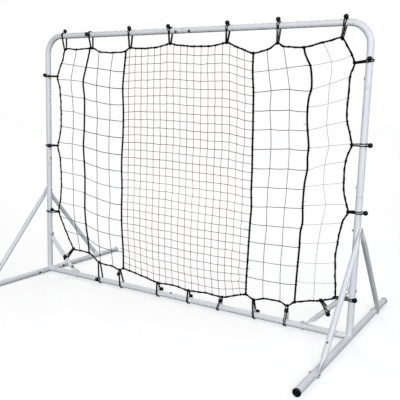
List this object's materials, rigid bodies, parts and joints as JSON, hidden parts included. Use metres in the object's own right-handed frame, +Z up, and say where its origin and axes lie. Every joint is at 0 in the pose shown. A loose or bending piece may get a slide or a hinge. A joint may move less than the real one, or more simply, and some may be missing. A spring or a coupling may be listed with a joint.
{
  "type": "pitch back rebounder",
  "caption": "Free-standing tubular steel rebounder frame on two braced feet, with a panelled rope-edged net tied inside it by ball bungees.",
  "frame": {"origin": "on the ground under the middle of the frame, between the two feet", "axes": "+X to the right along the rails as seen from the front, +Y backwards, +Z up"},
  "size_m": [2.0456, 1.33, 1.5154],
  "materials": {
    "powder_coat": "satin pale grey-white powder coat on steel tube",
    "end_plug": "moulded black plastic",
    "zinc_hardware": "dull zinc plating",
    "spring_strip": "tempered spring steel",
    "snap_button": "olive and yellow passivated steel",
    "net_rope": "twisted black synthetic rope",
    "net_twine": "thin dark knotted twine",
    "fine_twine": "fine dark knotted twine with a red tint",
    "bungee_cord": "braid-covered elastic",
    "bungee_ball": "moulded black plastic"
  },
  "bodies": {
    "frame": {"top_tube_left": "powder_coat", "top_tube_right": "powder_coat", "top_rail_sleeve": "powder_coat", "upper_post_left": "powder_coat", "upper_post_right": "powder_coat", "base_post_left": "powder_coat", "base_post_right": "powder_coat", "bottom_rail_left": "powder_coat", "bottom_rail_right": "powder_coat", "foot_tube_front_left": "powder_coat", "foot_plug_front_left": "end_plug", "brace_end_front_left": "powder_coat", "side_brace_front_left": "powder_coat", "foot_tube_rear_left": "powder_coat", "foot_plug_rear_left": "end_plug", "brace_end_rear_left": "powder_coat", "side_brace_rear_left": "powder_coat", "foot_tube_front_right": "powder_coat", "foot_plug_front_right": "end_plug", "brace_end_front_right": "powder_coat", "side_brace_front_right": "powder_coat", "foot_tube_rear_right": "powder_coat", "foot_plug_rear_right": "end_plug", "brace_end_rear_right": "powder_coat", "side_brace_rear_right": "powder_coat", "corner_brace_left": "powder_coat", "corner_brace_right": "powder_coat", "brace_bolts": "zinc_hardware", "brace_nuts": "zinc_hardware", "button_springs": "spring_strip", "border_rope": "net_rope", "divider_rope_1": "net_rope", "divider_rope_2": "net_rope", "divider_rope_3": "net_rope", "divider_rope_4": "net_rope", "net_panel_1": "net_twine", "net_panel_2": "net_twine", "net_panel_3": "fine_twine", "net_panel_4": "net_twine", "net_panel_5": "net_twine", "bungee_cords": "bungee_cord", "bungee_balls": "bungee_ball"},
    "button_top_rail_left": {"snap_button_top_rail_left": "snap_button"},
    "button_upper_post_left": {"snap_button_upper_post_left": "snap_button"},
    "button_base_post_left": {"snap_button_base_post_left": "snap_button"},
    "button_foot_front_left": {"snap_button_foot_front_left": "snap_button"},
    "button_foot_rear_left": {"snap_button_foot_rear_left": "snap_button"},
    "button_top_rail_right": {"snap_button_top_rail_right": "snap_button"},
    "button_upper_post_right": {"snap_button_upper_post_right": "snap_button"},
    "button_base_post_right": {"snap_button_base_post_right": "snap_button"},
    "button_foot_front_right": {"snap_button_foot_front_right": "snap_button"},
    "button_foot_rear_right": {"snap_button_foot_rear_right": "snap_button"},
    "button_bottom_rail": {"snap_button_bottom_rail": "snap_button"},
    "button_brace_front_left": {"snap_button_brace_front_left": "snap_button"},
    "button_brace_rear_left": {"snap_button_brace_rear_left": "snap_button"},
    "button_brace_front_right": {"snap_button_brace_front_right": "snap_button"},
    "button_brace_rear_right": {"snap_button_brace_rear_right": "snap_button"}
  },
  "joints": [
    {"name": "press_top_rail_left", "type": "slide", "parent": "frame", "child": "button_top_rail_left", "axis": [0, 0.866, 0.5], "range_m": [0, 0.005], "stiffness_N_per_m": 2500, "springref_m": -0.002},
    {"name": "press_upper_post_left", "type": "slide", "parent": "frame", "child": "button_upper_post_left", "axis": [-1, 0, 0], "range_m": [0, 0.005], "stiffness_N_per_m": 2500, "springref_m": -0.002},
    {"name": "press_base_post_left", "type": "slide", "parent": "frame", "child": "button_base_post_left", "axis": [-1, 0, 0], "range_m": [0, 0.005], "stiffness_N_per_m": 2500, "springref_m": -0.002},
    {"name": "press_foot_front_left", "type": "slide", "parent": "frame", "child": "button_foot_front_left", "axis": [-1, 0, 0], "range_m": [0, 0.005], "stiffness_N_per_m": 2500, "springref_m": -0.002},
    {"name": "press_foot_rear_left", "type": "slide", "parent": "frame", "child": "button_foot_rear_left", "axis": [-1, 0, 0], "range_m": [0, 0.005], "stiffness_N_per_m": 2500, "springref_m": -0.002},
    {"name": "press_top_rail_right", "type": "slide", "parent": "frame", "child": "button_top_rail_right", "axis": [0, 0.866, 0.5], "range_m": [0, 0.005], "stiffness_N_per_m": 2500, "springref_m": -0.002},
    {"name": "press_upper_post_right", "type": "slide", "parent": "frame", "child": "button_upper_post_right", "axis": [1, 0, 0], "range_m": [0, 0.005], "stiffness_N_per_m": 2500, "springref_m": -0.002},
    {"name": "press_base_post_right", "type": "slide", "parent": "frame", "child": "button_base_post_right", "axis": [1, 0, 0], "range_m": [0, 0.005], "stiffness_N_per_m": 2500, "springref_m": -0.002},
    {"name": "press_foot_front_right", "type": "slide", "parent": "frame", "child": "button_foot_front_right", "axis": [1, 0, 0], "range_m": [0, 0.005], "stiffness_N_per_m": 2500, "springref_m": -0.002},
    {"name": "press_foot_rear_right", "type": "slide", "parent": "frame", "child": "button_foot_rear_right", "axis": [1, 0, 0], "range_m": [0, 0.005], "stiffness_N_per_m": 2500, "springref_m": -0.002},
    {"name": "press_bottom_rail", "type": "slide", "parent": "frame", "child": "button_bottom_rail", "axis": [0, 0, -1], "range_m": [0, 0.005], "stiffness_N_per_m": 2500, "springref_m": -0.002},
    {"name": "press_brace_front_left", "type": "slide", "parent": "frame", "child": "button_brace_front_left", "axis": [0, 0.7445, -0.6677], "range_m": [0, 0.005], "stiffness_N_per_m": 2500, "springref_m": -0.002},
    {"name": "press_brace_rear_left", "type": "slide", "parent": "frame", "child": "button_brace_rear_left", "axis": [0, -0.7445, -0.6677], "range_m": [0, 0.005], "stiffness_N_per_m": 2500, "springref_m": -0.002},
    {"name": "press_brace_front_right", "type": "slide", "parent": "frame", "child": "button_brace_front_right", "axis": [0, 0.7445, -0.6677], "range_m": [0, 0.005], "stiffness_N_per_m": 2500, "springref_m": -0.002},
    {"name": "press_brace_rear_right", "type": "slide", "parent": "frame", "child": "button_brace_rear_right", "axis": [0, -0.7445, -0.6677], "range_m": [0, 0.005], "stiffness_N_per_m": 2500, "springref_m": -0.002}
  ]
}
